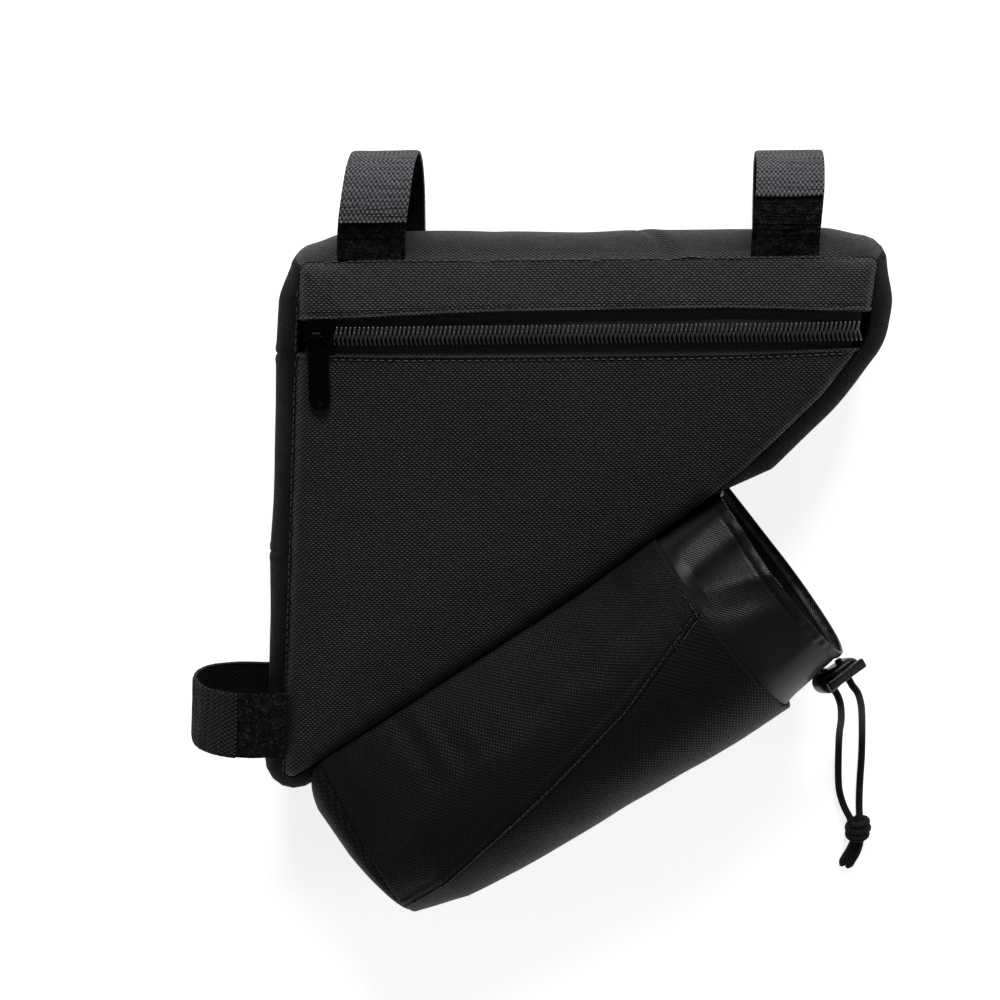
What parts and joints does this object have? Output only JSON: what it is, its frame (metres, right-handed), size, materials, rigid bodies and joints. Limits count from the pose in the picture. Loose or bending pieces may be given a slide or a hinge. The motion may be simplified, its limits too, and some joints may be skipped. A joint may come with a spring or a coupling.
{
  "type": "bicycle frame bag",
  "caption": "Triangular soft frame bag with a zipped main compartment, a round open side pocket with a drawcord collar, and hook-and-loop strap loops.",
  "frame": {"origin": "on the underside of the back panel, near the middle of the bag", "axes": "+X along the bag's top edge, +Y towards that edge, +Z out of the front panel with the zip"},
  "size_m": [0.2666, 0.2943, 0.0772],
  "materials": {
    "black_oxford": "coated plain weave, matte",
    "black_nylon": "thin coated ripstop, slightly glossy",
    "zip_tape": "woven tape, matte",
    "zip_coil": "moulded coil, satin",
    "black_enamel": "black enamel, glossy",
    "pile_tape": "brushed loops, matte",
    "hook_tape": "woven tape with fine hooks, satin",
    "elastic_cord": "braided, matte",
    "black_acetal": "moulded, satin"
  },
  "bodies": {
    "bag": {"back_panel": "black_oxford", "gusset": "black_oxford", "front_lower_panel": "black_oxford", "front_upper_panel": "black_oxford", "zip_tape_upper": "zip_tape", "zip_tape_lower": "zip_tape", "zip_coil": "zip_coil", "zip_slider": "black_enamel", "strap_top_left_pile": "pile_tape", "strap_top_left_hook": "hook_tape", "strap_top_right_pile": "pile_tape", "strap_top_right_hook": "hook_tape", "strap_seat_pile": "pile_tape", "strap_seat_hook": "hook_tape", "pocket_front_panel": "black_oxford", "pocket_side_panel": "black_oxford", "pocket_back_panel": "black_oxford", "pocket_end_panel": "black_oxford", "pocket_collar": "black_nylon", "drawcord_left": "elastic_cord", "drawcord_right": "elastic_cord", "cord_knot": "elastic_cord", "cord_lock_barrel": "black_acetal"},
    "zip_pull": {"zip_pull": "black_enamel"},
    "lock_plunger": {"cord_lock_plunger": "black_acetal"}
  },
  "joints": [
    {"name": "zip_pull_hinge", "type": "hinge", "parent": "bag", "child": "zip_pull", "pos_m": [-0.0667, 0.06107, 0.05925], "axis": [-0.9841, -0.0098, -0.1772], "range_deg": [0, 150]},
    {"name": "lock_press", "type": "slide", "parent": "bag", "child": "lock_plunger", "axis": [-0.3663, -0.2108, -0.9063], "range_m": [0, 0.0025], "stiffness_N_per_m": 300, "springref_m": -0.002}
  ]
}
